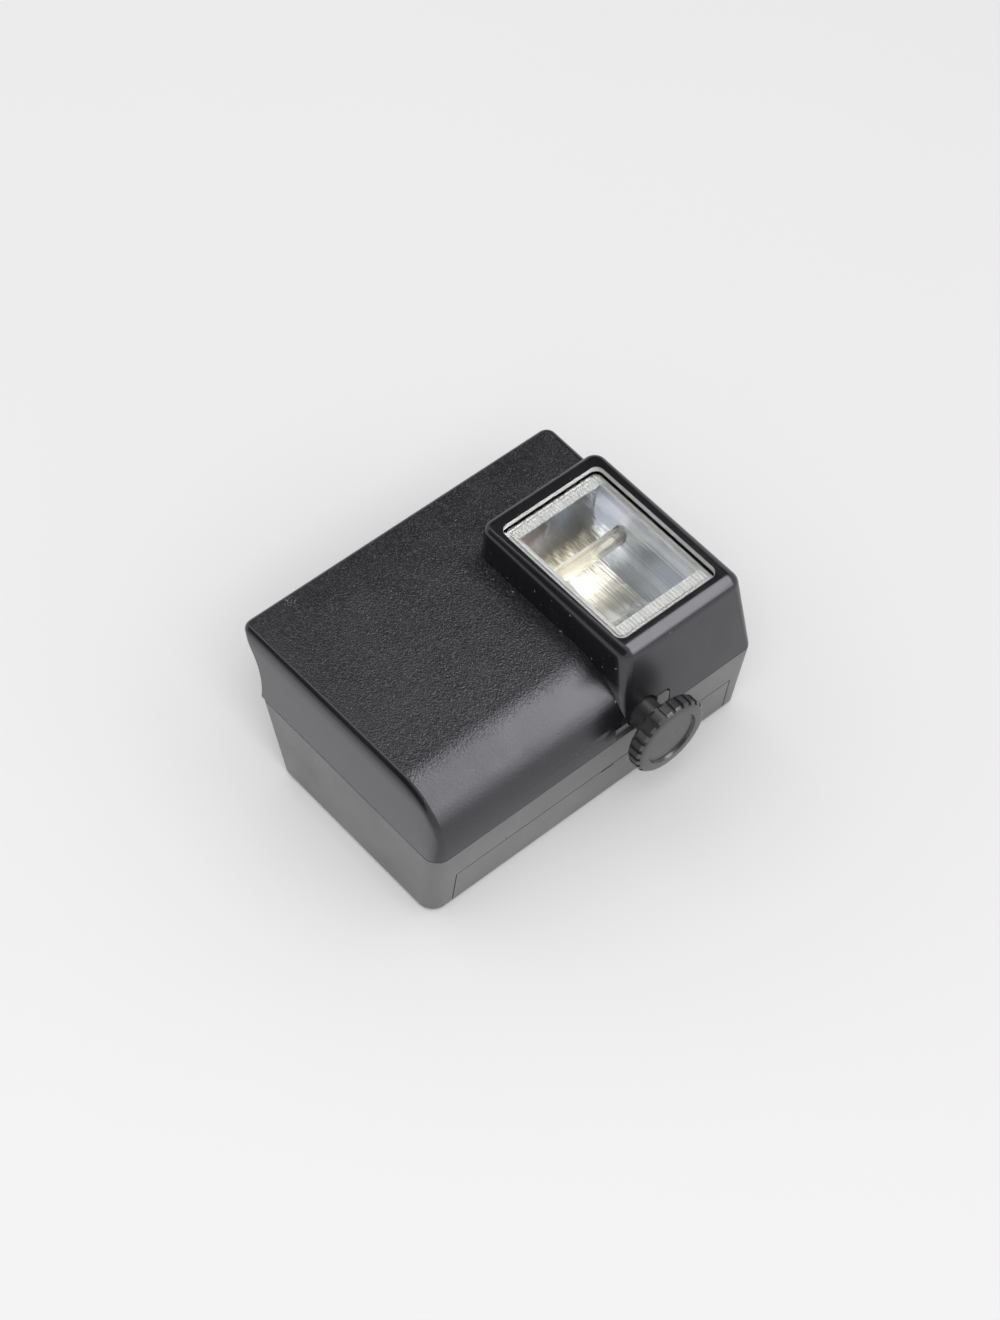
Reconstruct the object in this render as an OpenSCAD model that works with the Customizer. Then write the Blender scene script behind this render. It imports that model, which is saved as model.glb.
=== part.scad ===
// Small clip-on electronic flash, lying on its back. Units are mm.
// X runs across the case toward the thumb screw, Y along the case toward the flash head,
// Z out of the front. The origin is on the back face.

/* [Case] */
// length of the case at the parting line
body_length = 65; // [63:0.5:68]
// X of the side that carries the thumb screw
side_x = 23.5; // [23:0.25:24.5]
// X of the tip of the camera-side lip
lip_x = -23.8; // [-24.5:0.05:-23.5]
// height of the parting line between the covers
parting_z = 15.5; // [15.5:0.1:16]
// height of the front face
front_z = 27; // [26.5:0.25:28]
// height of the rim of the flash head
head_z = 33.9; // [33.5:0.1:35]
// thickness of the moulded walls
wall = 1.6; // [1.4:0.1:1.7]
// radius of the big round along the screw side
round_r = 10.6; // [9.5:0.1:11]
// radius of the lower corner on the screw side, seen from the front
corner_r = 2.8; // [2:0.1:3.5]
// radius of the corner at the head end on the screw side
end_corner_r = 1.4; // [0.8:0.1:1.6]
// how far the head end stands out past the case length at the parting line
head_bulge = 0.6; // [0:0.1:0.6]
// draft of the front cover at its two ends
end_draft = 1; // [0.5:0.1:1.5]
// radius of the front edges
edge_r = 1.5; // [1:0.1:2]
// width of the seam between the covers
seam = 0.2; // [0.15:0.01:0.25]

/* [Camera side] */
// radius of the hollow that nests on the camera
cove_r = 10.33; // [10:0.01:10.6]
// deepest X of that hollow
cove_x = -17.5; // [-17.8:0.1:-17.2]
// slope of the rear cover below the hollow, as X change to the back
rear_slope = 4.3; // [3.5:0.1:5]

/* [Flash head] */
// left side of the head
head_x = -11.6; // [-12:0.1:-11.4]
// lower side of the head
head_y = 5.4; // [5:0.1:5.6]
// width of the window
window_w = 27.6; // [27:0.1:27.8]
// height of the window
window_h = 20.4; // [20:0.1:20.6]
// how far the window stands proud of the rim
window_proud = 0.1; // [0:0.05:0.4]
// number of short moulded ribs along each side of the window
window_ribs = 26; // [16:1:28]
// radius of the xenon tube
tube_r = 1.4; // [1.2:0.05:1.6]

/* [Thumb screw] */
// Y of the screw axis
screw_y = 9.6; // [9.2:0.1:10]
// Z of the screw axis
screw_z = 18.2; // [18.2:0.1:18.6]
// outside radius of the knob
knob_r = 6.9; // [6:0.1:7]
// thickness of the knob
knob_t = 3; // [2.5:0.1:3.5]
// number of grip notches round the knob
knob_notches = 24; // [18:1:30]
// free travel of the screw along its axis
screw_travel = 2.7; // [2:0.1:2.9]
// radius of the screw shaft
shaft_r = 1.75; // [1.6:0.05:1.8]
// radius of the threaded tip
tip_r = 2; // [1.9:0.05:2.1]
// length of the threaded tip
tip_len = 3.6; // [3:0.1:4]

/* [Battery door] */
// lower end of the door
door_y0 = -27.4; // [-27.8:0.1:-27]
// upper end of the door
door_y1 = 29.6; // [29.2:0.1:29.8]
// height of the door line on the side
door_z = 8.4; // [8:0.1:9]
// gap round the door
door_gap = 0.2; // [0.15:0.01:0.3]
// X of the door hinge
hinge_x = 4.8; // [4.6:0.1:5]

/* [Hidden] */
$fn = 64;
half = body_length / 2;
mid = (parting_z + seam / 2);
lip_r = 1;
back_r = 1;
round_x = side_x - 0.2 - round_r;
round_z = front_z - round_r;
cove_cx = cove_x - cove_r;
cove_cz = 16;
rear_left = cove_x + 0.1;
front_end = half - end_draft;
window_cx = 5.2;
window_cy = 17.5;
window_z = head_z + window_proud;
tube_x = 0.5;
tube_z = 26.8;
tube_y0 = 10.4;
tube_y1 = 25.8;
mirror_top = 31.3;
mirror_low = 21;
mirror_x0 = -6.4;
mirror_x1 = 15.6;
mirror_y0 = 9.6;
mirror_y1 = 26.6;
mirror_t = 0.4;
end_slope = 0.45;
trough_steps = 28;
cell_x = 13.9;
cell_z = 8.6;
cell_r = 7.25;
bay_r = 7.5;
bay_y0 = door_y0 + 0.6;
bay_y1 = door_y1 - 0.6;
hinge_z = 1.35;
hinge_r = 1.15;
switch_x = -4.5;
switch_y = 12;
lamp_y = 24;
boss_x = -8.6;
boss_y = [-26.8, 28];
board_z = 15.4;
spring_turns = 3;
spring_n = 24;
spring_wire = 0.32;

// flat rounded rectangle given by two corners
module plate2d(x0, y0, x1, y1, r) {
    translate([x0 + r, y0]) square([x1 - x0 - 2 * r, y1 - y0]);
    translate([x0, y0 + r]) square([x1 - x0, y1 - y0 - 2 * r]);
    for (x = [x0 + r, x1 - r], y = [y0 + r, y1 - r])
        translate([x, y]) circle(r, $fn = 32);
}

// box given by two corners
module block(a, b) {
    translate(a) cube(b - a);
}

// cylinder along X between two X values
module along_x(x0, x1, y, z, r) {
    translate([x0, y, z]) rotate([0, 90, 0]) cylinder(r = r, h = x1 - x0);
}

// cylinder along Y between two Y values
module along_y(y0, y1, x, z, r) {
    translate([x, y0, z]) rotate([-90, 0, 0]) cylinder(r = r, h = y1 - y0);
}

// rounded corner: a ring of tube radius r inside plan radius big
module soft_corner(big, r) {
    rotate_extrude($fn = 32) intersection() {
        translate([big - r, 0]) circle(r, $fn = 32);
        translate([0, -r]) square([big, 2 * r]);
    }
}

// hollow on the camera side, grown by t
module cove(t) {
    along_y(-half - 5, half + 5, cove_cx, cove_cz, cove_r + t);
}

// corner radius on the screw side: lower end for s = -1, head end for s = 1
function side_r(s) = s < 0 ? corner_r : end_corner_r;

// distance of the lower end or the head end from the middle at the parting line
function end_y(s) = s < 0 ? half : half + head_bulge;

// outside of the front cover without the head and the camera hollow
module front_body() {
    hull() {
        for (s = [-1, 1]) {
            translate([side_x - side_r(s), s * (end_y(s) - side_r(s)), mid])
                cylinder(r = side_r(s), h = 0.3, $fn = 48);
            translate([cove_x, s * (end_y(s) - 1), mid]) cylinder(r = 1, h = 0.3, $fn = 24);
            translate([round_x, s * (front_end - edge_r), round_z]) rotate([90, 0, 0])
                rotate_extrude(angle = 90, $fn = 96)
                    translate([round_r - edge_r, 0]) circle(edge_r, $fn = 32);
            translate([lip_x + 1.8, s * (front_end - 1.8), front_z - lip_r])
                soft_corner(1.8, lip_r);
        }
    }
}

// inside of the front cover below the head
module front_space() {
    difference() {
        hull() {
            along_y(-front_end + wall, front_end - wall, round_x, round_z, round_r - wall);
            block([-20, -front_end + wall, front_z - wall - 1], [0, front_end - wall, front_z - wall]);
            block([cove_x, -half + wall, parting_z - 1], [side_x - wall, half - wall, mid + 0.2]);
        }
        cove(wall);
    }
}

// outside of the flash head
module head_body() {
    hull() {
        translate([side_x - end_corner_r, end_y(1) - end_corner_r, mid])
            cylinder(r = end_corner_r, h = 0.3, $fn = 32);
        translate([side_x - 1.4, head_y + 1.4, mid]) cylinder(r = 1.4, h = 0.3, $fn = 32);
        translate([head_x + 2.2, half - 2.2 - 0.3, mid]) cylinder(r = 2.2, h = 0.3, $fn = 32);
        translate([head_x + 2.2, head_y + 2.2, mid]) cylinder(r = 2.2, h = 0.3, $fn = 32);
        for (y = [head_y + 2.2, half - 2.55 - 2.2])
            translate([head_x + 0.3 + 2.2, y, head_z - 1.25]) soft_corner(2.2, 1.25);
        // fuller rim on the screw side
        translate([side_x - 1.4 - 2.4, head_y + 2.4, head_z - 2.2]) soft_corner(2.4, 2.2);
        translate([side_x - 1.4 - 2.2, half - 2.05 - 2.2, head_z - 2.2]) soft_corner(2.2, 2.2);
    }
}

// inside of the flash head
module head_space() {
    hull() {
        block([head_x + wall, head_y + wall, parting_z - 1], [side_x - wall, half - wall, parting_z]);
        block([head_x + 0.4 + wall, head_y + wall, head_z - wall - 0.1],
            [side_x - 2.4 - wall, half - 2.7 - wall, head_z - wall]);
    }
}

// outline of the notch that lets the screw neck out through the side
module neck_notch() {
    difference() {
        union() {
            block([side_x - 4, 4.1, parting_z - 1], [side_x + 2, screw_y, 17.9]);
            block([side_x - 4, screw_y, parting_z - 1], [side_x + 2, 15.3, 19.7]);
        }
        difference() {
            block([side_x - 5, 14.3, 18.7], [side_x + 3, 16, 20]);
            along_x(side_x - 6, side_x + 4, 14.3, 18.7, 1);
        }
    }
    along_x(side_x - 4, side_x + 2, screw_y, screw_z, 3.1);
}

// moulded posts that take the case screws
module front_posts() {
    for (y = boss_y)
        translate([boss_x, y, mid + 1.6]) cylinder(r = 2.3, h = front_z - wall - mid - 1.1);
}

module front_cover() {
    color("#1d1d1f")
    difference() {
        union() {
            difference() {
                union() {
                    difference() {
                        front_body();
                        cove(0);
                    }
                    head_body();
                }
                front_space();
                head_space();
            }
            front_posts();
            // boss that holds the screw bush
            intersection() {
                along_x(-19, -12.5, screw_y, screw_z, 3.9);
                difference() {
                    front_body();
                    cove(0);
                }
            }
        }
        translate([0, 0, head_z - wall - 1]) linear_extrude(wall + 3) window_outline(0.05, 1.5);
        neck_notch();
        // seat of the screw bush
        along_x(-25, -10, screw_y, screw_z, 2.52);
        // seat of the contact plate
        block([-25, -16.2, 16.4], [-10, 0.2, 20.2]);
        for (y = boss_y)
            translate([boss_x, y, mid]) cylinder(r = 0.95, h = 8);
    }
}

// outside of the rear cover
module rear_body() {
    hull() {
        for (s = [-1, 1]) {
            translate([side_x - side_r(s), s * (end_y(s) - side_r(s)), parting_z - seam / 2 - 0.3])
                cylinder(r = side_r(s), h = 0.3, $fn = 48);
            translate([rear_left + 1, s * (end_y(s) - 1), parting_z - seam / 2 - 0.3])
                cylinder(r = 1, h = 0.3, $fn = 32);
            translate([side_x - 1.1 - side_r(s), s * (end_y(s) - 0.6 - side_r(s)), back_r])
                soft_corner(side_r(s), back_r);
            translate([rear_left + rear_slope + 1.2, s * (half - 0.6 - 1.2), back_r])
                soft_corner(1.2, back_r);
        }
    }
}

// inside of the rear cover
module rear_space() {
    hull() {
        block([rear_left + wall + 0.1, -half + wall, parting_z - 0.5],
            [side_x - wall, half - wall, parting_z + 1]);
        block([rear_left + rear_slope + wall + 0.4, -half + 0.65 + wall, wall],
            [side_x - 1.1 - wall, half - 0.65 - wall, wall + 1]);
    }
}

// space taken by the door, its hinge barrel and the gap round them
module door_space(g) {
    block([hinge_x - 1.65, door_y0 - g, -1], [side_x + 2, door_y1 + g, hinge_z]);
    block([side_x - 2.4 - g, door_y0 - g, -1], [side_x + 2, door_y1 + g, door_z + g]);
    along_y(door_y0 - g, door_y1 + g, hinge_x, hinge_z, hinge_r + g);
}

// walls of the battery bay with the half-round roof
module bay_walls() {
    difference() {
        union() {
            along_y(bay_y0 - 1.2, bay_y1 + 1.2, cell_x, cell_z, bay_r + 1);
            block([cell_x - bay_r - 1, bay_y0 - 1.2, 1.8], [side_x - 1.2, bay_y1 + 1.2, cell_z]);
            block([2, bay_y0 - 1.2, 0.4], [cell_x - bay_r, bay_y1 + 1.2, 3.9]);
            // post that guides the screw shaft
            block([5, screw_y - 3.4, 3], [6.2, screw_y + 3.4, screw_z + 3]);
        }
        along_y(bay_y0, bay_y1, cell_x, cell_z, bay_r);
        block([cell_x - bay_r, bay_y0, -1], [side_x - 1.3, bay_y1, cell_z]);
        along_x(4, 7, screw_y, screw_z, shaft_r + 0.05);
        // groove for the shaft over the roof
        along_x(6.2, side_x, screw_y, screw_z, shaft_r + 0.25);
        // room for the neck when the screw is pushed home
        along_x(side_x - 4, side_x, screw_y, screw_z, 3);
    }
}

// rim that locates the front cover
module tongue() {
    difference() {
        translate([0, 0, parting_z - 2]) linear_extrude(3.1)
            difference() {
                plate2d(cove_x + wall + 0.3, -half + wall + 0.3, side_x - wall - 0.3, half - wall - 0.3, 0.9);
                plate2d(cove_x + wall + 1.1, -half + wall + 1.1, side_x - wall - 1.1, half - wall - 1.1, 0.6);
            }
        block([side_x - 5, 3.9, parting_z - 3], [side_x + 2, 15.5, parting_z + 3]);
        block([-25, -16.4, parting_z - seam / 2], [-10, 14.2, parting_z + 3]);
    }
}

// tab and back wall of the notch round the screw neck
module neck_yoke() {
    difference() {
        union() {
            block([side_x - 2.2, 4.3, parting_z - 2], [side_x - 0.5, 10, 17.7]);
            translate([side_x - 2.2, 0, 0]) rotate([90, 0, 90]) linear_extrude(2.05)
                union() {
                    translate([10, parting_z - 1]) square([5.1, 4]);
                    translate([10, parting_z + 2]) square([4.1, 2]);
                    translate([14.1, parting_z + 3]) circle(1, $fn = 32);
                }
        }
        along_x(side_x - 5, side_x + 2, screw_y, screw_z, 2.95);
        block([side_x - 5, screw_y - 2.95, screw_z], [side_x + 2, screw_y + 2.95, 22]);
    }
}

module rear_cover() {
    color("#2b2b2d")
    difference() {
        union() {
            difference() {
                rear_body();
                rear_space();
                neck_pocket();
            }
            intersection() {
                rear_body_tall();
                bay_walls();
            }
            tongue();
            neck_yoke();
            for (y = boss_y)
                translate([boss_x, y, 1]) cylinder(r = 2.7, h = parting_z - 1);
            // thickened floor under the switch and the lamp
            block([switch_x - 4, switch_y - 6, 1], [switch_x + 4, switch_y + 6, 2.3]);
            translate([switch_x, lamp_y, 1]) cylinder(r = 3.6, h = 1.6);
        }
        door_space(door_gap);
        along_y(bay_y0, bay_y1, cell_x, cell_z, bay_r);
        along_y(door_y0 - 1.4, door_y1 + 1.4, hinge_x, hinge_z, 0.6);
        for (y = boss_y) {
            translate([boss_x, y, -1]) cylinder(r = 1.25, h = 20);
            translate([boss_x, y, -1]) cylinder(r = 2.15, h = 3);
        }
        // recess and slot of the switch
        block([switch_x - 2.4, switch_y - 4.2, -1], [switch_x + 2.4, switch_y + 4.2, 1.3]);
        block([switch_x - 1.1, switch_y - 2.9, 0], [switch_x + 1.1, switch_y + 2.9, 4]);
        // hole of the ready lamp
        translate([switch_x, lamp_y, -1]) cylinder(r = 1.85, h = 5);
        translate([switch_x, lamp_y, 1.3]) cylinder(r = 2.6, h = 3);
    }
}

// half-round relief under the screw neck in the rim of the rear cover
module neck_pocket() {
    along_x(side_x - 2.5, side_x + 2, screw_y, screw_z, 2.95);
}

// loose outer limit for the inner walls of the rear cover
module rear_body_tall() {
    block([-10, -half + 0.8, 0.2], [side_x - 0.9, half - 0.8, 22]);
}

module battery_door() {
    color("#2b2b2d")
    difference() {
        union() {
            intersection() {
                rear_body();
                union() {
                    block([hinge_x, door_y0, -1], [side_x + 2, door_y1, 1.1]);
                    block([side_x - 2.3, door_y0, -1], [side_x + 2, door_y1, door_z]);
                }
            }
            along_y(door_y0, door_y1, hinge_x, hinge_z, hinge_r);
        }
        // thinned inside of the side wall
        block([side_x - 4, bay_y0 + 0.4, 1.1], [side_x - 1.3, bay_y1 - 0.4, door_z + 1]);
        // nail slit on the door line
        block([side_x - 0.95, 2.2, door_z - 0.3], [side_x + 1, 4.8, door_z + 1]);
        along_y(door_y0 - 1, door_y0 + 3, hinge_x, hinge_z, 0.65);
        along_y(door_y1 - 3, door_y1 + 1, hinge_x, hinge_z, 0.65);
    }
}

module door_pins() {
    color("#b9babd") {
        along_y(door_y0 - 1.3, door_y0 + 2.8, hinge_x, hinge_z, 0.6);
        along_y(door_y1 - 2.8, door_y1 + 1.3, hinge_x, hinge_z, 0.6);
    }
}

// outline of the window, grown by g
module window_outline(g, r) {
    plate2d(window_cx - window_w / 2 - g, window_cy - window_h / 2 - g,
        window_cx + window_w / 2 + g, window_cy + window_h / 2 + g, r);
}

module flash_window() {
    base_z = head_z - wall - 0.7;
    under_z = window_z - 1.5;
    color("#e9eef2", 0.4)
    union() {
        difference() {
            union() {
                translate([0, 0, base_z]) linear_extrude(window_z - base_z) window_outline(0, 1.45);
                translate([0, 0, base_z]) linear_extrude(0.6) window_outline(0.25, 1.2);
            }
            translate([0, 0, base_z - 1]) linear_extrude(under_z - base_z + 1) window_outline(-1, 0.6);
        }
        // short ribs under both sides
        for (i = [0 : window_ribs - 1], x = [window_cx - window_w / 2 + 0.9, window_cx + window_w / 2 - 2.7])
            along_x(x, x + 1.8, window_cy - window_h / 2 + 1.6 + i * (window_h - 3.2) / (window_ribs - 1),
                under_z + 0.1, 0.3);
    }
}

// section of the mirror trough, grown by t: half an ellipse that hangs from the flange
module trough_section(t) {
    half_w = (mirror_x1 - mirror_x0) / 2;
    deep = mirror_top - mirror_low;
    polygon([for (i = [0:trough_steps]) let (q = 180 * i / trough_steps)
        [mirror_x0 + half_w - (half_w + t) * cos(q), mirror_top - (deep + t) * sin(q)]]);
}

// the trough as a solid with sloped ends, grown by t
module trough_block(t) {
    drop = (mirror_top - mirror_low + t) * end_slope;
    intersection() {
        translate([0, mirror_y1 + t, 0]) rotate([90, 0, 0])
            linear_extrude(mirror_y1 - mirror_y0 + 2 * t) trough_section(t);
        translate([mirror_x0 - 1, 0, 0]) rotate([90, 0, 90]) linear_extrude(mirror_x1 - mirror_x0 + 2)
            polygon([[mirror_y0 - t, mirror_top], [mirror_y0 - t + drop, mirror_low - t],
                [mirror_y1 + t - drop, mirror_low - t], [mirror_y1 + t, mirror_top]]);
    }
}

module reflector() {
    color("#e6e7ea")
    difference() {
        union() {
            trough_block(mirror_t);
            // flat flange under the window
            translate([0, 0, mirror_top - mirror_t]) linear_extrude(mirror_t) window_outline(-0.2, 1);
        }
        trough_block(0);
        translate([0, 0, mirror_top - 0.01]) linear_extrude(1) translate([mirror_x0, mirror_y0])
            square([mirror_x1 - mirror_x0, mirror_y1 - mirror_y0]);
        along_y(mirror_y0 - 2, mirror_y1 + 2, tube_x, tube_z, tube_r + 0.15);
    }
}

module flash_tube() {
    color("#f4f1e2", 0.5)
    difference() {
        along_y(tube_y0, tube_y1, tube_x, tube_z, tube_r);
        along_y(tube_y0 + 0.5, tube_y1 - 0.5, tube_x, tube_z, tube_r - 0.4);
    }
}

module tube_caps() {
    color("#c9c9c6") {
        along_y(tube_y0 - 1.3, tube_y0 - 0.05, tube_x, tube_z, 0.9);
        along_y(tube_y1 + 0.05, tube_y1 + 1.3, tube_x, tube_z, 0.9);
    }
}

module tube_boots() {
    color("#d9d4c8")
    for (y = [tube_y0 - 1.15, tube_y1 + 0.15])
        difference() {
            along_y(y, y + 1, tube_x, tube_z, 1.6);
            along_y(y - 1, y + 2, tube_x, tube_z, 0.95);
        }
}

module lock_screw() {
    color("#a9abae")
    difference() {
        union() {
            along_x(-19, side_x + 5, screw_y, screw_z, shaft_r);
            along_x(-18.8 - tip_len, -18.8, screw_y, screw_z, tip_r);
        }
        // groove of the retaining clip
        difference() {
            along_x(3.5, 4.2, screw_y, screw_z, 5);
            along_x(3, 5, screw_y, screw_z, 1.35);
        }
    }
}

module thumb_knob() {
    x0 = side_x + 3.4;
    color("#202022")
    difference() {
        translate([x0, screw_y, screw_z]) rotate([0, 90, 0]) rotate_extrude()
            polygon([[shaft_r, -4.1], [2.7, -4.1], [2.7, 0], [knob_r - 0.9, 0], [knob_r - 0.35, 0.25], [knob_r, 0.7],
                [knob_r, knob_t - 0.6], [knob_r - 0.45, knob_t - 0.12], [knob_r - 0.8, knob_t],
                [4.85, knob_t], [4.65, knob_t - 0.4], [0, knob_t - 0.4], [0, 1.65], [shaft_r, 1.65]]);
        for (i = [0 : knob_notches - 1])
            translate([x0, screw_y, screw_z]) rotate([i * 360 / knob_notches, 0, 0])
                block([-1, -0.36, knob_r - 0.4], [knob_t + 1, 0.36, knob_r + 1]);
    }
}

module retaining_clip() {
    color("#8f9195")
    difference() {
        along_x(3.6, 4.1, screw_y, screw_z, 3);
        along_x(3, 5, screw_y, screw_z, 1.35);
        block([3, screw_y - 0.9, screw_z - 4], [5, screw_y + 0.9, screw_z]);
    }
}

module thrust_washer() {
    color("#d8d4c6")
    difference() {
        along_x(4.25, 4.75, screw_y, screw_z, 3.2);
        along_x(3, 6, screw_y, screw_z, shaft_r + 0.06);
    }
}

module screw_bush() {
    color("#b99a55")
    difference() {
        along_x(-17.55, -12.2, screw_y, screw_z, 2.5);
        along_x(-19, -10, screw_y, screw_z, shaft_r + 0.05);
    }
}

module contact_plate() {
    color("#2a2724")
    difference() {
        block([-17.4, -16.1, 16.5], [-15.2, 0.1, 20.1]);
        for (i = [0 : 2])
            along_x(-20, -10, -13 + i * 5, screw_z, 0.8);
    }
}

module contact_pins() {
    color("#d1a94a")
    for (i = [0 : 2]) {
        along_x(-17.9, -13.6, -13 + i * 5, screw_z, 0.8);
        translate([-17.9, -13 + i * 5, screw_z]) sphere(0.8);
    }
}

module circuit_board() {
    color("#7d6a38")
    difference() {
        block([-14, -29.4, board_z], [4.8, 4.4, board_z + 1.2]);
        translate([boss_x, boss_y[0], board_z - 1]) cylinder(r = 3, h = 4);
        for (x = [-8.3, -2.7])
            translate([x, 3, board_z - 1]) cylinder(r = 0.5, h = 4);
    }
}

module main_capacitor() {
    color("#25272c")
    translate([-5.5, -23.3, 8.4]) rotate([-90, 0, 0]) rotate_extrude()
        polygon([[0, 0], [4.9, 0], [5.4, 0.5], [5.4, 21.7], [5, 22.3], [5, 23.1], [5.4, 23.7],
            [5.4, 24.7], [5, 25.1], [4.4, 25.1], [4.4, 24.1], [0, 24.1]]);
}

module capacitor_bung() {
    color("#46372f")
    union() {
        along_y(0.85, 1.75, -5.5, 8.4, 4.3);
        for (x = [-8.3, -2.7]) {
            along_y(1.6, 3.25, x, 8.4, 0.4);
            translate([x, 3, 8.3]) cylinder(r = 0.4, h = board_z - 6.4);
        }
    }
}

module transformer_core() {
    color("#3b3b3e")
    difference() {
        block([-10.6, -23.8, board_z + 1.3], [1.4, -11.8, board_z + 8.4]);
        for (x = [-7.6, -2.6])
            block([x - 1.5, -25, board_z + 3.4], [x + 1.5, -11, board_z + 6.6]);
    }
}

module transformer_winding() {
    color("#c88a3e")
    difference() {
        union() {
            for (y = [-24.3, -11.7])
                block([-9, y, board_z + 3.5], [-1.2, y + 0.4, board_z + 6.5]);
            for (x = [-9, -4])
                block([x, -24.3, board_z + 3.5], [x + 2.8, -11.3, board_z + 6.5]);
        }
        block([-6.1, -23.8, board_z + 3], [-4.1, -11.8, board_z + 7]);
    }
}

module trigger_coil() {
    color("#8c2f24")
    translate([-2.6, -4, board_z + 1.3]) union() {
        cylinder(r = 2.2, h = 7.2);
        cylinder(r = 3, h = 0.8);
        translate([0, 0, 6.4]) cylinder(r = 3, h = 0.8);
    }
}

module oscillator_transistor() {
    color("#1f2022")
    difference() {
        translate([-9.4, -4.5, board_z + 1.3]) cylinder(r = 2.4, h = 4.8);
        block([-13, -8, board_z], [-10.9, 0, board_z + 8]);
    }
}

module trigger_capacitor() {
    color("#a4552b")
    block([1.8, -9.6, board_z + 1.3], [4.2, -3.2, board_z + 7.3]);
}

module charge_resistors() {
    color("#c8ad84")
    for (y = [-10.4, -8])
        along_x(-10.6, -4.4, y, board_z + 2.3, 0.95);
}

module switch_button() {
    color("#3a3a3d")
    difference() {
        union() {
            block([switch_x - 2.1, switch_y - 2.3, 0.15], [switch_x + 2.1, switch_y + 1.1, 1.05]);
            block([switch_x - 0.8, switch_y - 2.2, 0.9], [switch_x + 0.8, switch_y - 0.4, 4.4]);
        }
        for (y = [-1.8 : 0.8 : 0.7])
            block([switch_x - 3, switch_y + y, 0], [switch_x + 3, switch_y + y + 0.35, 0.45]);
    }
}

module switch_body() {
    color("#5a5c60")
    difference() {
        block([switch_x - 3.4, switch_y - 5.4, 2.4], [switch_x + 3.4, switch_y + 5.4, 6.6]);
        block([switch_x - 1.2, switch_y - 3.2, 2], [switch_x + 1.2, switch_y + 3.2, 5.6]);
    }
}

module switch_terminals() {
    color("#c9a75a")
    for (y = [-4.4, 0, 4.4])
        block([switch_x - 0.6, switch_y + y - 0.2, 6.6], [switch_x + 0.6, switch_y + y + 0.2, 9.4]);
}

module lamp_lens() {
    color("#d2622a")
    translate([switch_x, lamp_y, 0]) rotate_extrude()
        polygon([[0, 0.35], [1.3, 0.35], [1.75, 0.6], [1.75, 1.35], [2.5, 1.35], [2.5, 2.2], [0, 2.2]]);
}

module neon_lamp() {
    color("#e8d9c8", 0.6)
    translate([switch_x, lamp_y, 2.4]) difference() {
        union() {
            translate([0, 0, 1.7]) sphere(1.7);
            translate([0, 0, 1.7]) cylinder(r = 1.7, h = 5);
        }
        for (x = [-0.6, 0.6])
            translate([x, 0, 1.6]) cylinder(r = 0.35, h = 6);
    }
}

module neon_electrodes() {
    color("#b0b0ac")
    for (x = [-0.6, 0.6])
        translate([switch_x + x, lamp_y, 4.2]) cylinder(r = 0.3, h = 8);
}

module battery_cell() {
    color("#39506a")
    translate([cell_x, -22.2, cell_z]) rotate([-90, 0, 0]) rotate_extrude()
        polygon([[0, 0], [cell_r - 0.7, 0], [cell_r, 0.5], [cell_r, 48.7], [cell_r - 0.5, 49.2],
            [0, 49.2]]);
}

module cell_cap() {
    color("#c7c8c9")
    along_y(27, 28.15, cell_x, cell_z, 2.7);
}

// conical coil that narrows toward the cell
function spring_at(a) = let (u = a / (360 * spring_turns))
    [(4.9 - 1.9 * u) * cos(a), -25.95 + 3.3 * u, (4.9 - 1.9 * u) * sin(a)];
spring_gap = min([for (i = [0 : spring_n * spring_turns], j = [i + spring_n / 2 : spring_n * spring_turns])
    norm(spring_at(i * 360 / spring_n) - spring_at(j * 360 / spring_n))]) - 2 * spring_wire;
echo(least_spring_gap = spring_gap);

module battery_spring() {
    n = spring_turns * spring_n;
    ring = 8;
    pts = [for (i = [0 : n]) let (a = i * 360 / spring_n, p = spring_at(a),
        r = [cos(a), 0, sin(a)]) for (k = [0 : ring - 1])
        p + spring_wire * (r * cos(k * 360 / ring) + [0, 1, 0] * sin(k * 360 / ring))];
    sides = [for (i = [0 : n - 1], k = [0 : ring - 1]) let (m = (k + 1) % ring)
        [i * ring + k, i * ring + m, (i + 1) * ring + m, (i + 1) * ring + k]];
    caps = [[for (k = [ring - 1 : -1 : 0]) k], [for (k = [0 : ring - 1]) n * ring + k]];
    color("#c9ccd0")
    translate([cell_x, 0, cell_z]) polyhedron(pts, concat(sides, caps));
}

module minus_plate() {
    color("#c9ccd0")
    block([cell_x - 5.6, bay_y0 + 0.05, cell_z - 5.6], [cell_x + 5.6, bay_y0 + 0.4, cell_z + 4.4]);
}

module plus_contact() {
    color("#c9ccd0")
    union() {
        block([cell_x - 4, bay_y1 - 0.5, cell_z - 5], [cell_x + 4, bay_y1 - 0.1, cell_z + 4.4]);
        along_y(bay_y1 - 0.8, bay_y1 - 0.4, cell_x, cell_z, 1.8);
    }
}

module case_screws() {
    color("#9a9ca0")
    for (y = boss_y)
        translate([boss_x, y, 0]) difference() {
            union() {
                translate([0, 0, 0.7]) cylinder(r = 2, h = 1.2);
                translate([0, 0, 1.8]) cylinder(r = 0.9, h = 19);
            }
            block([-1.2, -0.22, 0], [1.2, 0.22, 1.2]);
            block([-0.22, -1.2, 0], [0.22, 1.2, 1.2]);
        }
}

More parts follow.
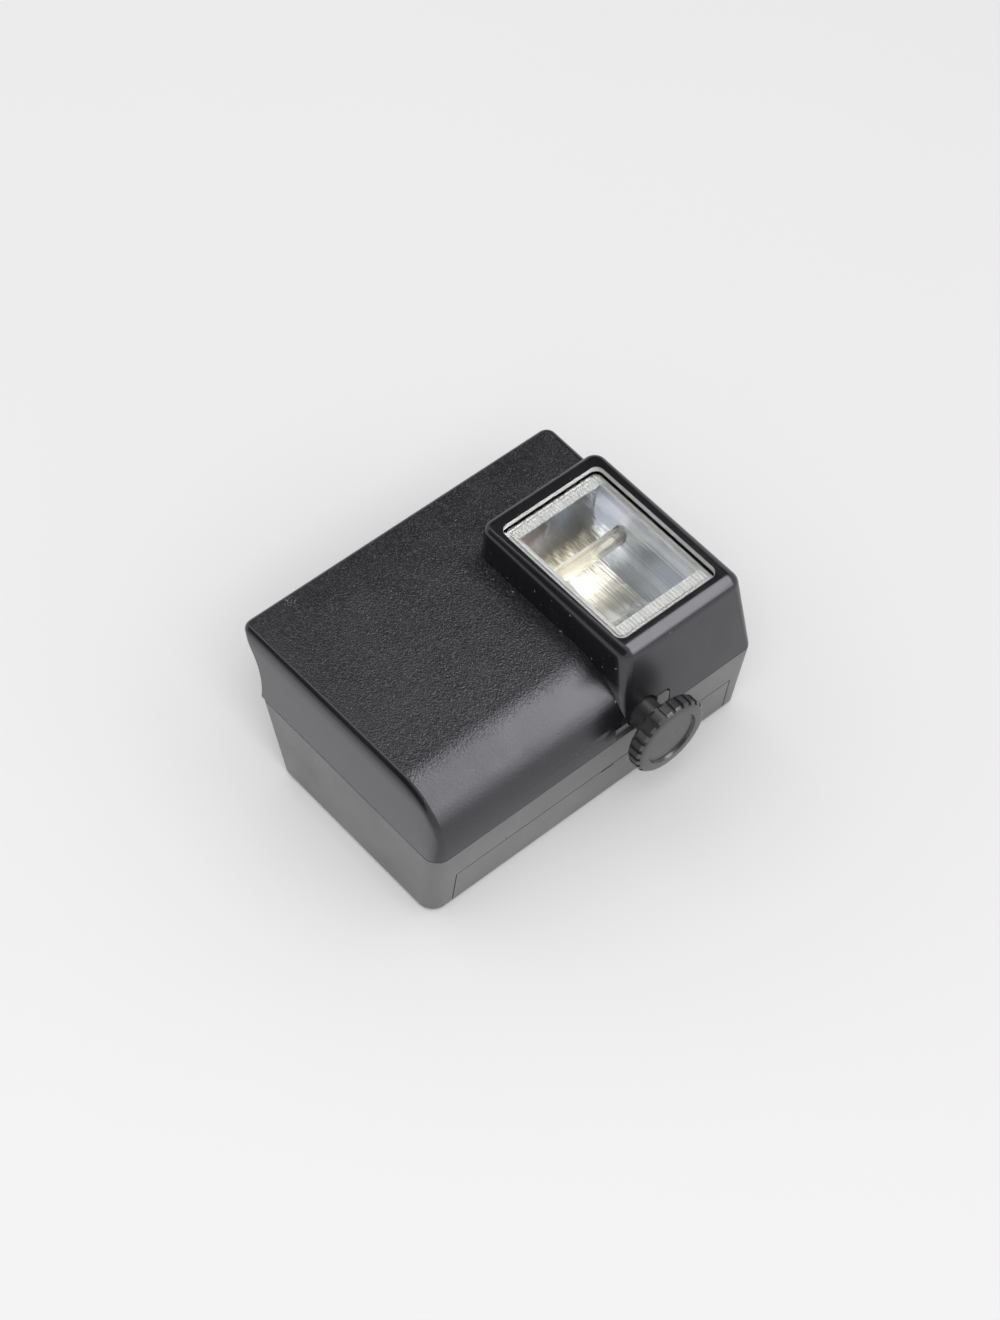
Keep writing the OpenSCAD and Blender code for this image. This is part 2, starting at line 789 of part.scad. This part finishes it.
front_cover();
rear_cover();
battery_door();
door_pins();
flash_window();
reflector();
flash_tube();
tube_caps();
tube_boots();
lock_screw();
thumb_knob();
retaining_clip();
thrust_washer();
screw_bush();
contact_plate();
contact_pins();
circuit_board();
main_capacitor();
capacitor_bung();
transformer_core();
transformer_winding();
trigger_coil();
oscillator_transistor();
trigger_capacitor();
charge_resistors();
switch_button();
switch_body();
switch_terminals();
lamp_lens();
neon_lamp();
neon_electrodes();
battery_cell();
cell_cap();
battery_spring();
minus_plate();
plus_contact();
case_screws();
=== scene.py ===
"""Looks of the small clip-on electronic flash: materials, studio and camera."""
import math

import bpy
from mathutils import Matrix, Vector


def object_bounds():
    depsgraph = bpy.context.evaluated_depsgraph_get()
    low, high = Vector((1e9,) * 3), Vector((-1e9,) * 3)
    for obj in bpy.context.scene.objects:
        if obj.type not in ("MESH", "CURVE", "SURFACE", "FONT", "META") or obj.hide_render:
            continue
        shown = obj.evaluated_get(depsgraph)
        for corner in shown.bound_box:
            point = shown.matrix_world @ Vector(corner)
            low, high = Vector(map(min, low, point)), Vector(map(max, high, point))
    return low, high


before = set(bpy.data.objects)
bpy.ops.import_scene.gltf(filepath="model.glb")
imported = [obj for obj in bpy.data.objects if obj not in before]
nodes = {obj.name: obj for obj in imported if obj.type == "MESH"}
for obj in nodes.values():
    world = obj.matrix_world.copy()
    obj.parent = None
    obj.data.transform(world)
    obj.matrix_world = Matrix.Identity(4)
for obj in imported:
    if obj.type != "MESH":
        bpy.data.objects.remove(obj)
cad_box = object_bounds()

# Places on the part that its materials follow, in metres of the part's own frame.
# A pair is the start and the end of a soft border.
head_foot_z = (0.02706, 0.0272)      # the head rises from the flat front here
head_foot_y = (0.0052, 0.0054)       # the head begins here along the case
past_round_x = (0.0135, 0.0145)      # wall of the head beyond the big round
painted_end_top_z = (0.024, 0.0262)        # upper border of the satin case ends, which are painted grey as a painted reflection of the floor
dust_line_y = 0.0048                 # dust gathers at the foot of the head
rubbed_corner = (-0.0221, -0.0229)   # X and Y of the scuffed corner of the front
plate_under_z = (0.0326, 0.0327)     # underside of the window plate
flange_z = (0.03112, 0.03122)        # flat flange of the reflector
reflection_tint_x = (0.002, 0.013)              # painted reflection colour: the reflector turns from warm by the tube to bluish toward the screw
stain_end_y = (0.012, 0.018)         # the stains of the reflector stop here

# Edges that turn by more than this stay sharp
crease_degrees = 32
weld_distance = 0.000002

# The floor lies this far below the back of the case
floor_gap = 0.0001


# Node helpers

class Shader:
    """A material with one Principled shader and short ways to add nodes."""

    def __init__(self, name):
        self.mat = bpy.data.materials.new(name)
        self.mat.use_nodes = True
        self.tree = self.mat.node_tree
        self.bsdf = self.tree.nodes["Principled BSDF"]

    def add(self, kind, **settings):
        node = self.tree.nodes.new(kind)
        for key, value in settings.items():
            setattr(node, key, value)
        return node

    def link(self, a, b):
        self.tree.links.new(a, b)

    def feed(self, socket, value):
        """Link a socket to another one, or give it a number or a colour."""
        if isinstance(value, tuple):
            socket.default_value = (*value, 1)
        elif isinstance(value, (int, float)):
            socket.default_value = value
        else:
            self.link(value, socket)

    def set(self, **values):
        """Constants on the sockets of the shader."""
        for key, value in values.items():
            self.bsdf.inputs[key.replace("_", " ")].default_value = value

    def out(self, **sockets):
        """Links to the sockets of the shader; gives the finished material."""
        for key, value in sockets.items():
            self.link(value, self.bsdf.inputs[key.replace("_", " ")])
        return self.mat

    def split(self, kind, output):
        source = self.add(kind)
        parts = self.add("ShaderNodeSeparateXYZ")
        self.link(source.outputs[output], parts.inputs["Vector"])
        return parts.outputs["X"], parts.outputs["Y"], parts.outputs["Z"]

    def position(self):
        """X, Y and Z of the surface point in the part's own frame."""
        return self.split("ShaderNodeTexCoord", "Object")

    def facing(self):
        """X, Y and Z of the surface normal."""
        return self.split("ShaderNodeNewGeometry", "Normal")

    def coords(self, stretch=(1, 1, 1)):
        tex = self.add("ShaderNodeTexCoord")
        mapping = self.add("ShaderNodeMapping")
        mapping.inputs["Scale"].default_value = stretch
        self.link(tex.outputs["Object"], mapping.inputs["Vector"])
        return mapping.outputs["Vector"]

    def noise(self, scale, detail=2.0, rough=0.5, stretch=(1, 1, 1)):
        node = self.add("ShaderNodeTexNoise")
        node.inputs["Scale"].default_value = scale
        node.inputs["Detail"].default_value = detail
        node.inputs["Roughness"].default_value = rough
        self.link(self.coords(stretch), node.inputs["Vector"])
        return node.outputs["Fac"]

    def span(self, fac, low, high, out_low, out_high):
        """Map low to high onto out_low to out_high, level beyond both ends."""
        node = self.add("ShaderNodeMapRange")
        node.inputs["From Min"].default_value = low
        node.inputs["From Max"].default_value = high
        node.inputs["To Min"].default_value = out_low
        node.inputs["To Max"].default_value = out_high
        self.link(fac, node.inputs["Value"])
        return node.outputs["Result"]

    def rise(self, fac, low, high, top=1.0):
        return self.span(fac, low, high, 0, top)

    def fall(self, fac, low, high, top=1.0):
        return self.span(fac, low, high, top, 0)

    def math(self, op, a, b=0.0):
        node = self.add("ShaderNodeMath", operation=op)
        self.feed(node.inputs[0], a)
        self.feed(node.inputs[1], b)
        return node.outputs["Value"]

    def times(self, first, *others):
        for other in others:
            first = self.math("MULTIPLY", first, other)
        return first

    def plus(self, first, *others):
        for other in others:
            first = self.math("ADD", first, other)
        return first

    def distance(self, a, b):
        """How far the value a is from the number b."""
        return self.math("ABSOLUTE", self.math("SUBTRACT", a, b))

    def mix(self, fac, a, b):
        node = self.add("ShaderNodeMix", data_type="RGBA")
        self.feed(node.inputs["Factor"], fac)
        self.feed(node.inputs[6], a)
        self.feed(node.inputs[7], b)
        return node.outputs[2]

    def cloud(self, scale, detail, a, b):
        """Two colours in soft patches."""
        return self.mix(self.rise(self.noise(scale, detail), 0.3, 0.7), a, b)

    def bump(self, height, distance, strength, under=None):
        node = self.add("ShaderNodeBump")
        node.inputs["Distance"].default_value = distance
        self.feed(node.inputs["Strength"], strength)
        self.link(height, node.inputs["Height"])
        if under is not None:
            self.link(under, node.inputs["Normal"])
        return node.outputs["Normal"]


# Materials

def smooth_case(name, color, rough, specks=0.0):
    """Moulded satin plastic with faint flow marks and a few dust specks."""
    dust_grey = (0.45, 0.44, 0.42)
    paler = tuple(c * 1.35 + 0.004 for c in color)
    s = Shader(name)
    s.set(IOR=1.75)
    base = s.cloud(55, 3, color, paler)
    if specks:
        dust = s.rise(s.noise(1300, 1), 0.80, 0.83, specks)
        base = s.mix(dust, base, dust_grey)
    flow = s.span(s.noise(160, 4), 0.3, 0.75, rough - 0.05, rough + 0.08)
    return s.out(Base_Color=base, Roughness=flow, Normal=s.bump(s.noise(2600), 0.000004, 0.5))


def grained_case():
    """Front cover: fine sand grain on the front and its round, smooth head, ends and edges."""
    grain_scale = 4600
    grain_height = 0.000045
    black = (0.007, 0.007, 0.008)
    worn_black = (0.012, 0.012, 0.014)
    end_reflection_grey = (0.078, 0.078, 0.080)
    tip_grey = (0.052, 0.052, 0.057)
    dust_grey = (0.35, 0.34, 0.33)
    rubbed_grey = (0.30, 0.30, 0.30)
    s = Shader("grained_case")
    s.set(IOR=1.7, Specular_Tint=(0.94, 0.925, 1.0, 1))
    x, y, z = s.position()
    face_x, face_y, face_z = s.facing()
    endward = s.math("ABSOLUTE", face_y)

    # the grain covers the flat front and the round, and fades where the round turns down
    beside_head = s.times(s.rise(y, *head_foot_y), s.rise(x, *past_round_x))
    head = s.math("MAXIMUM", s.rise(z, *head_foot_z), beside_head)
    grain = s.times(s.fall(endward, 0.03, 0.12), s.rise(face_z, 0.04, 0.12),
                    s.math("SUBTRACT", 1, head))
    depth = s.times(grain, s.span(face_z, 0.93, 0.995, 0.22, 1))
    cell = s.add("ShaderNodeTexVoronoi", feature="SMOOTH_F1")
    cell.inputs["Scale"].default_value = grain_scale
    s.link(s.coords(), cell.inputs["Vector"])
    pick = s.add("ShaderNodeSeparateColor")
    s.link(cell.outputs["Color"], pick.inputs["Color"])
    height = s.plus(s.times(cell.outputs["Distance"], 0.7), pick.outputs["Red"])
    normal = s.bump(s.noise(2400), 0.000003, 0.5, s.bump(height, grain_height, depth))

    # black all over; the satin ends are painted greyer as a painted reflection of the floor, and
    # the tips of the grain are greyer
    base = s.cloud(60, 3, black, worn_black)
    # painted reflection: the satin ends of the black case are painted grey where they mirror the
    # floor
    satin = s.times(s.rise(endward, 0.7, 0.95), s.fall(z, *painted_end_top_z))
    base = s.mix(satin, base, end_reflection_grey)
    tip = s.times(depth, s.rise(pick.outputs["Green"], 0.6, 0.85, 0.8))
    base = s.mix(tip, base, tip_grey)

    # dust in the corner under the head, and one rubbed corner
    gather = s.fall(s.distance(y, dust_line_y), 0.0004, 0.0014, 0.07)
    dust = s.rise(s.plus(s.noise(1400, 1), gather), 0.81, 0.84, 0.6)
    base = s.mix(dust, base, dust_grey)
    away = s.plus(s.distance(x, rubbed_corner[0]), s.distance(y, rubbed_corner[1]))
    scuff = s.times(s.fall(away, 0.0006, 0.0016), s.rise(s.noise(2600), 0.52, 0.6, 0.5))
    base = s.mix(scuff, base, rubbed_grey)

    gloss = s.span(s.noise(180, 4), 0.3, 0.75, 0.18, 0.26)
    screw_wall = s.times(head, s.rise(face_x, 0.85, 0.96, 0.17))
    rough = s.plus(s.times(grain, 0.12), gloss, screw_wall)
    return s.out(Base_Color=base, Roughness=rough, Normal=normal)


def clear_lens():
    """Clear moulding: fine ribs under the plate, frosted edges."""
    rib_stretch = (15, 1500, 15)
    rib_height = 0.0001
    s = Shader("clear_lens")
    s.set(Base_Color=(0.985, 0.985, 0.97, 1), IOR=1.49, Transmission_Weight=1.0)
    z = s.position()[2]
    face_z = s.facing()[2]
    edge = s.fall(s.math("ABSOLUTE", face_z), 0.02, 0.1)
    haze = s.plus(s.rise(s.noise(300, 4), 0.4, 0.8, 0.04), s.times(edge, 0.35))
    clear = s.span(edge, 0, 1, 1, 0.35)
    ribs = s.bump(s.noise(1, stretch=rib_stretch), rib_height, s.fall(z, *plate_under_z))
    normal = s.bump(s.noise(420), 0.000004, 0.3, ribs)
    return s.out(Roughness=haze, Transmission_Weight=clear, Normal=normal)


def rolled_mirror():
    """Reflector sheet: bright streaks, painted reflection colours from warm by the tube to bluish
    toward the screw, a painted dark reflection on the wall on the camera side, pale ends and
    flange.
    """
    warm_bright, warm_dark = (0.96, 0.94, 0.87), (0.50, 0.48, 0.42)
    cold_bright, cold_dark = (0.74, 0.79, 0.86), (0.36, 0.40, 0.46)
    end_bright, end_dark = (0.86, 0.88, 0.92), (0.62, 0.66, 0.72)
    dark_reflection_grey, stain_brown = (0.34, 0.34, 0.36), (0.33, 0.23, 0.19)
    flange_grey = (0.84, 0.85, 0.86)
    streak_stretch = (25, 1500, 25)
    streak_height = 0.00014
    s = Shader("rolled_mirror")
    x, y, z = s.position()
    face_x, face_y, _ = s.facing()
    streak = s.noise(1, stretch=streak_stretch)
    lines = s.rise(streak, 0.42, 0.57)
    # painted reflection colours: warm where the walls mirror the tube, bluish toward the screw
    reflection_tint = s.times(s.rise(x, *reflection_tint_x, 0.7), s.span(s.noise(160), 0.3, 0.7, 0.4, 1))
    base = s.mix(lines, s.mix(reflection_tint, warm_dark, cold_dark), s.mix(reflection_tint, warm_bright, cold_bright))
    # painted dark reflection: the wall on the camera side is painted dull grey, with brownish
    # stains
    dark_reflection_wall = s.rise(face_x, 0.78, 0.84)
    stain = s.times(s.rise(s.noise(420, 3), 0.45, 0.65, 0.7), s.fall(y, *stain_end_y))
    base = s.mix(dark_reflection_wall, base, s.mix(stain, dark_reflection_grey, stain_brown))
    ends = s.rise(s.math("ABSOLUTE", face_y), 0.4, 0.6)
    base = s.mix(ends, base, s.mix(lines, end_dark, end_bright))
    flange = s.rise(z, *flange_z)
    base = s.mix(flange, base, flange_grey)
    rough = s.plus(s.span(streak, 0.3, 0.7, 0.12, 0.22), s.times(flange, 0.1))
    shine = s.span(face_x, -0.1, 0.6, 0.72, 1)
    normal = s.bump(streak, streak_height, 0.9)
    return s.out(Base_Color=base, Metallic=shine, Roughness=rough, Normal=normal)


def xenon_tube():
    """Frosted, slightly yellowed glass."""
    s = Shader("xenon_tube")
    s.set(IOR=1.47, Transmission_Weight=0.85)
    base = s.mix(s.noise(260, 3), (0.97, 0.94, 0.83), (1.0, 0.98, 0.93))
    rough = s.span(s.noise(350, 3), 0.4, 0.8, 0.06, 0.14)
    return s.out(Base_Color=base, Roughness=rough, Normal=s.bump(s.noise(500), 0.000005, 0.4))


def neon_glass():
    """Clear glass of the small lamp."""
    s = Shader("neon_glass")
    s.set(Base_Color=(0.95, 0.93, 0.90, 1), IOR=1.47, Transmission_Weight=1.0)
    rough = s.span(s.noise(350, 3), 0.4, 0.8, 0.01, 0.08)
    return s.out(Roughness=rough, Normal=s.bump(s.noise(500), 0.000005, 0.4))


def amber_lens():
    """Tinted plastic of the ready lamp."""
    s = Shader("amber_lens")
    s.set(IOR=1.5, Transmission_Weight=0.85)
    base = s.mix(s.noise(400), (0.80, 0.20, 0.03), (0.95, 0.36, 0.07))
    return s.out(Base_Color=base, Roughness=s.span(s.noise(700), 0.3, 0.7, 0.08, 0.2))


def metal(name, color, rough, stretch=(1, 1, 1), scale=900.0):
    """Drawn, turned or plated metal; the stretch draws its marks out into lines."""
    darker = tuple(c * 0.82 for c in color)
    s = Shader(name)
    s.set(Metallic=1.0)
    line = s.noise(scale, 3, 0.55, stretch)
    base = s.cloud(120, 3, darker, color)
    shine = s.span(line, 0.3, 0.7, rough - 0.06, rough + 0.08)
    return s.out(Base_Color=base, Roughness=shine, Normal=s.bump(line, 0.000006, 0.5))


def coated(name, color, rough, mottled=0.25, scale=260.0):
    """Dipped, sleeved or moulded pieces of the inside."""
    darker = tuple(c * (1 - mottled) for c in color)
    s = Shader(name)
    base = s.cloud(scale, 4, darker, color)
    shine = s.span(s.noise(scale * 3), 0.3, 0.7, rough - 0.07, rough + 0.07)
    normal = s.bump(s.noise(scale * 8), 0.000005, 0.5)
    return s.out(Base_Color=base, Roughness=shine, Normal=normal)


def winding_wire():
    """Enamelled copper: fine turns side by side."""
    turns_scale = 420
    wire_height = 0.00008
    s = Shader("winding_wire")
    s.set(Metallic=0.8)
    wave = s.add("ShaderNodeTexWave", bands_direction="Y")
    wave.inputs["Scale"].default_value = turns_scale
    wave.inputs["Distortion"].default_value = 0.6
    s.link(s.coords(), wave.inputs["Vector"])
    turns = wave.outputs["Fac"]
    base = s.mix(turns, (0.20, 0.06, 0.02), (0.62, 0.25, 0.08))
    rough = s.span(s.noise(500), 0.3, 0.7, 0.25, 0.4)
    return s.out(Base_Color=base, Roughness=rough, Normal=s.bump(turns, wire_height, 0.8))


looks = {
    "front_cover": grained_case(),
    "rear_cover": smooth_case("rear_case", (0.087, 0.087, 0.089), 0.32, 0.3),
    "thumb_knob": smooth_case("knob_plastic", (0.026, 0.026, 0.028), 0.29, 0.15),
    "flash_window": clear_lens(),
    "reflector": rolled_mirror(),
    "flash_tube": xenon_tube(),
    "neon_lamp": neon_glass(),
    "lock_screw": metal("screw_steel", (0.56, 0.56, 0.57), 0.3, (60, 1, 1), 60),
    "battery_spring": metal("plated_wire", (0.62, 0.62, 0.63), 0.25),
    "screw_bush": metal("turned_brass", (0.70, 0.52, 0.24), 0.3),
    "contact_pins": metal("gold_plate", (0.83, 0.62, 0.25), 0.2),
    "retaining_clip": metal("dark_steel", (0.30, 0.30, 0.32), 0.35),
    "switch_body": metal("tinned_can", (0.55, 0.56, 0.57), 0.33),
    "tube_boots": coated("boot_rubber", (0.62, 0.58, 0.50), 0.6),
    "capacitor_bung": coated("bung_rubber", (0.05, 0.038, 0.03), 0.65),
    "thrust_washer": coated("washer_nylon", (0.62, 0.60, 0.54), 0.45),
    "contact_plate": coated("block_phenolic", (0.020, 0.016, 0.014), 0.5),
    "circuit_board": coated("board_laminate", (0.22, 0.13, 0.045), 0.5, 0.35, 500),
    "main_capacitor": coated("shrink_sleeve", (0.018, 0.020, 0.028), 0.3),
    "transformer_core": coated("ferrite", (0.05, 0.05, 0.052), 0.55, 0.4, 900),
    "transformer_winding": winding_wire(),
    "trigger_coil": coated("coil_coat", (0.25, 0.035, 0.02), 0.3),
    "oscillator_transistor": coated("epoxy_black", (0.012, 0.012, 0.013), 0.45),
    "trigger_capacitor": coated("film_coat", (0.36, 0.11, 0.03), 0.25),
    "charge_resistors": coated("resistor_coat", (0.50, 0.36, 0.19), 0.4),
    "switch_button": smooth_case("switch_plastic", (0.06, 0.06, 0.063), 0.4),
    "lamp_lens": amber_lens(),
    "battery_cell": coated("cell_jacket", (0.055, 0.075, 0.11), 0.3, 0.2, 60),
}
shared_looks = {
    "battery_door": "rear_cover",
    "door_pins": "lock_screw",
    "tube_caps": "battery_spring",
    "neon_electrodes": "battery_spring",
    "cell_cap": "battery_spring",
    "minus_plate": "battery_spring",
    "plus_contact": "battery_spring",
    "case_screws": "retaining_clip",
    "switch_terminals": "contact_pins",
}
for name, source in shared_looks.items():
    looks[name] = looks[source]


# Shading of the CAD meshes: weld the facets and keep only the true edges sharp

def soften_group():
    group = bpy.data.node_groups.new("soften", "GeometryNodeTree")
    group.interface.new_socket("Geometry", in_out="INPUT", socket_type="NodeSocketGeometry")
    group.interface.new_socket("Geometry", in_out="OUTPUT", socket_type="NodeSocketGeometry")
    start = group.nodes.new("NodeGroupInput")
    end = group.nodes.new("NodeGroupOutput")
    weld = group.nodes.new("GeometryNodeMergeByDistance")
    weld.inputs["Distance"].default_value = weld_distance
    face = group.nodes.new("GeometryNodeSetShadeSmooth")
    face.domain = "FACE"
    edge = group.nodes.new("GeometryNodeSetShadeSmooth")
    edge.domain = "EDGE"
    turn = group.nodes.new("GeometryNodeInputMeshEdgeAngle")
    gentle = group.nodes.new("FunctionNodeCompare")
    gentle.data_type = "FLOAT"
    gentle.operation = "LESS_EQUAL"
    gentle.inputs["B"].default_value = math.radians(crease_degrees)
    links = group.links
    links.new(start.outputs[0], weld.inputs["Geometry"])
    links.new(weld.outputs["Geometry"], face.inputs["Geometry"])
    links.new(face.outputs["Geometry"], edge.inputs["Geometry"])
    links.new(turn.outputs["Unsigned Angle"], gentle.inputs["A"])
    links.new(gentle.outputs["Result"], edge.inputs["Shade Smooth"])
    links.new(edge.outputs["Geometry"], end.inputs[0])
    return group


soften = soften_group()
for name, obj in nodes.items():
    obj.data.materials.clear()
    obj.data.materials.append(looks[name])
    obj.modifiers.new("soften", "NODES").node_group = soften


# Studio

room_light = 0.725
middle = (0.0, 0.0, 0.012)
strip_at = (0.32, 0.34, 0.66)
strip_size = (1.13, 0.38)


def area(name, at, size, power):
    """Rectangular lamp that faces the middle of the flash."""
    light = bpy.data.lights.new(name, "AREA")
    light.shape = "RECTANGLE"
    light.size, light.size_y = size
    light.energy = power
    obj = bpy.data.objects.new(name, light)
    back = (Vector(at) - Vector(middle)).normalized()
    wide = Vector((back.z, 0, -back.x)).normalized()
    axes = Matrix((wide, back.cross(wide), back)).transposed().to_4x4()
    obj.matrix_world = Matrix.Translation(at) @ axes
    bpy.context.collection.objects.link(obj)
    return obj


def sheet(name, corners, material):
    """One flat face of the studio."""
    mesh = bpy.data.meshes.new(name)
    mesh.from_pydata(corners, [], [(0, 1, 2, 3)])
    mesh.materials.append(material)
    obj = bpy.data.objects.new(name, mesh)
    bpy.context.collection.objects.link(obj)
    return obj


# boxes that the big round and the screw side mirror, and a slit over the front
area("right_strip", strip_at, strip_size, 5.0).visible_diffuse = False
area("right_low_box", (0.70, 0.36, 0.24), (0.24, 0.40), 0.55).visible_diffuse = False
area("top_slit", (-0.33, 0.02, 0.72), (0.5, 0.05), 0.2)

# soft lamps that fill the shadows without a mirror image
area("right_soft", strip_at, strip_size, 1.5).visible_glossy = False
area("left_fill", (-0.70, -0.45, 0.45), (0.6, 0.6), 0.3).visible_glossy = False
area("front_fill", (0.36, -0.28, 0.74), (0.5, 0.5), 2.6).visible_glossy = False

world = bpy.data.worlds.new("studio")
bpy.context.scene.world = world
world.use_nodes = True
room = world.node_tree.nodes["Background"]
room.inputs["Color"].default_value = (1.0, 1.0, 1.0, 1)
room.inputs["Strength"].default_value = room_light

# dark cards: one that the flat front mirrors, one behind the camera that the rounded edges mirror
felt = Shader("felt_card")
felt_tone = felt.mix(felt.noise(40, 3), (0.02, 0.02, 0.02), (0.03, 0.03, 0.03))
felt_rough = felt.span(felt.noise(90), 0.3, 0.7, 0.85, 0.95)
felt_card = felt.out(Base_Color=felt_tone, Roughness=felt_rough)
for name, corners in (
        ("dark_card", [(-0.9, 0.05, 0.47), (-0.115, 0.05, 0.47),
                       (-0.115, 0.8, 0.47), (-0.9, 0.8, 0.47)]),
        ("camera_card", [(-0.8, -0.75, 0.33), (0.62, -0.75, 0.33),
                         (0.62, -0.22, 0.82), (-0.8, -0.22, 0.82)])):
    card = sheet(name, corners, felt_card)
    card.visible_diffuse = False
    card.visible_transmission = False
    card.visible_shadow = False

paper = Shader("paper_floor")
paper.set(Specular_IOR_Level=0.0)
paper_tone = paper.mix(paper.noise(9, 3), (0.82, 0.82, 0.82), (0.84, 0.84, 0.84))
paper_rough = paper.span(paper.noise(300), 0.3, 0.7, 0.6, 0.75)
paper_floor = paper.out(Base_Color=paper_tone, Roughness=paper_rough)
floor = sheet("floor", [(-4, -4, 0), (4, -4, 0), (4, 4, 0), (-4, 4, 0)], paper_floor)
floor.location.z = cad_box[0][2] - floor_gap


# Camera fitted to the photograph

photo_height = 1320.0
focal_pixels = 3430.55
sensor_mm = 36.0
camera_at = (0.225015, -0.223528, 0.445519)

lens = bpy.data.cameras.new("photo_camera")
lens.sensor_fit = "AUTO"
lens.sensor_width = sensor_mm
lens.lens = focal_pixels * sensor_mm / photo_height
lens.clip_start = 0.01
camera = bpy.data.objects.new("photo_camera", lens)
right = Vector((0.659997, 0.749845, 0.046227))
above = Vector((-0.622850, 0.511738, 0.591761))
behind = Vector((0.420073, -0.419353, 0.804787))
axes = Matrix((right, above, behind)).transposed().to_4x4()
camera.matrix_world = Matrix.Translation(camera_at) @ axes
bpy.context.collection.objects.link(camera)
bpy.context.scene.camera = camera
bpy.context.scene.view_settings.view_transform = "Standard"
